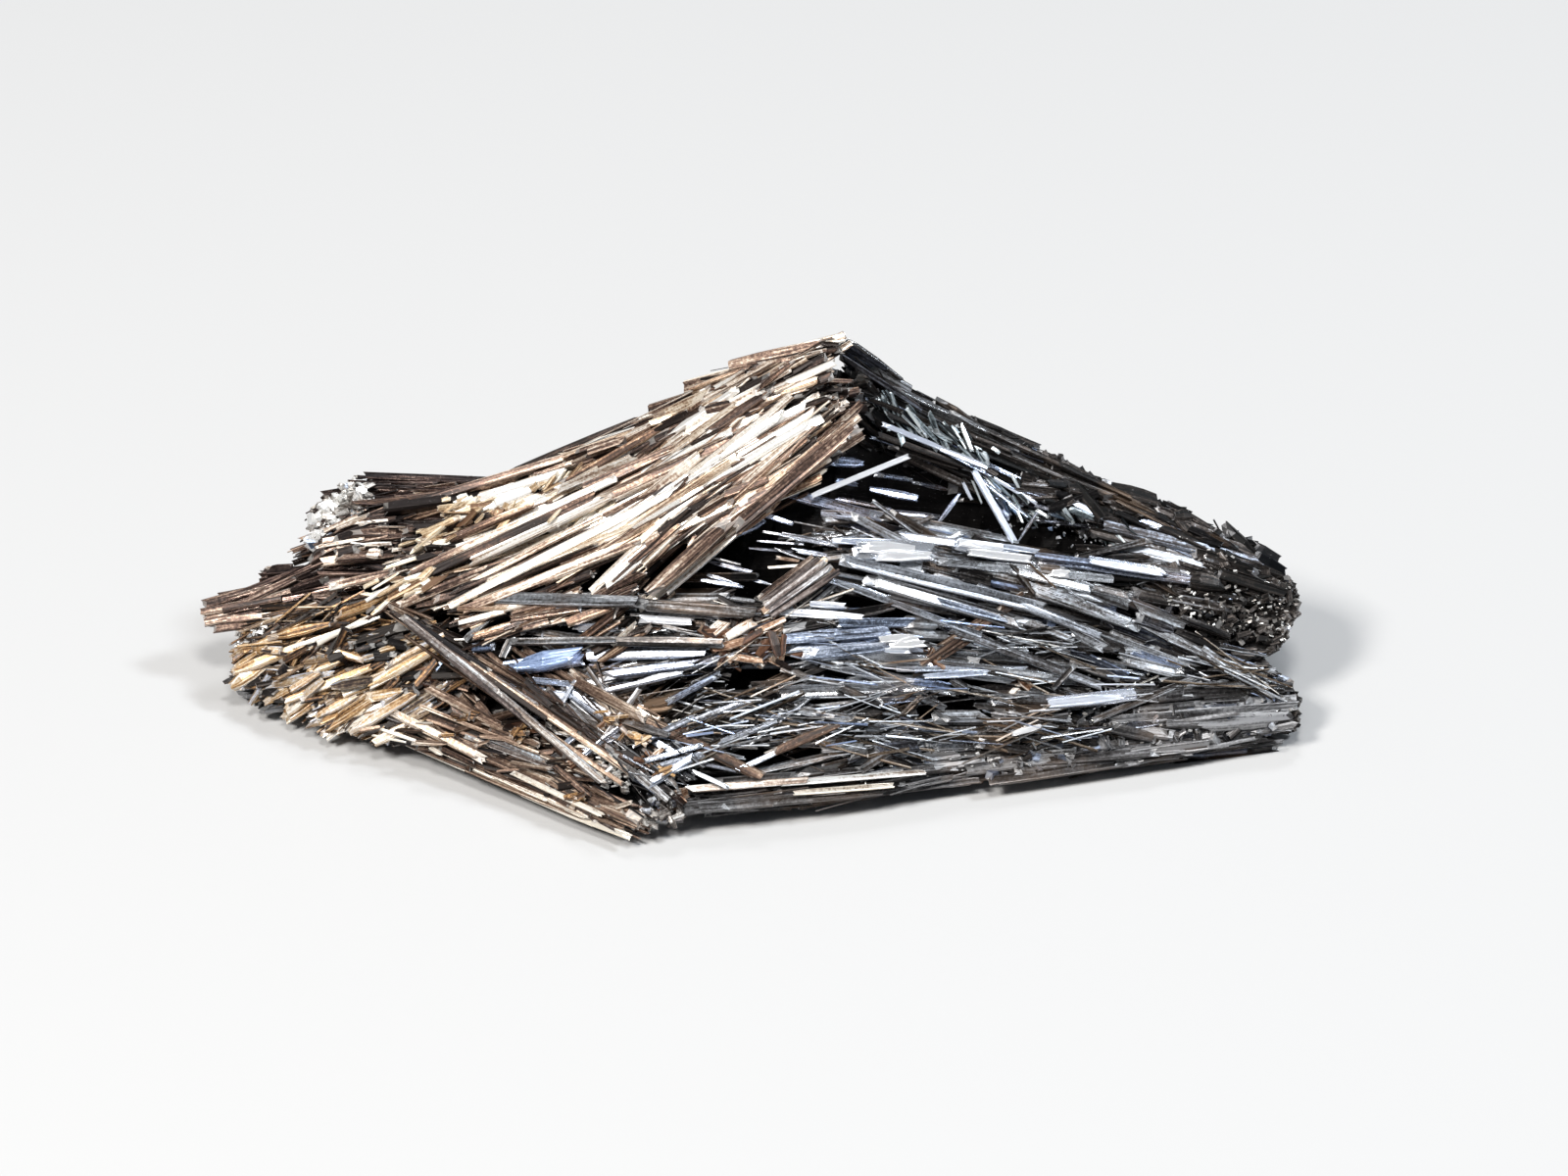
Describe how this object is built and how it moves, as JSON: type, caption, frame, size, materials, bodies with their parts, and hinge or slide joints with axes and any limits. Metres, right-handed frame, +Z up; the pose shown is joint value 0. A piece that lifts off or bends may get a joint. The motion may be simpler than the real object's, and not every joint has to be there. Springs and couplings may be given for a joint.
{
  "type": "zinkenite crystal cluster",
  "caption": "Low, mountain-shaped cluster of intergrown metallic laths: a tarnished brown fan rises to a peak, and steel-grey laths run down to the right end.",
  "frame": {"origin": "middle of the cluster's base, on the surface it rests on", "axes": "+X along the cluster from its ochre left end to its broken right end, -Y towards the front face, +Z up"},
  "size_m": [0.0608, 0.0292, 0.0192],
  "materials": {
    "zinkenite": "satin, striated along the laths"
  },
  "bodies": {
    "root": {"crystal_cluster": "zinkenite"}
  },
  "joints": []
}
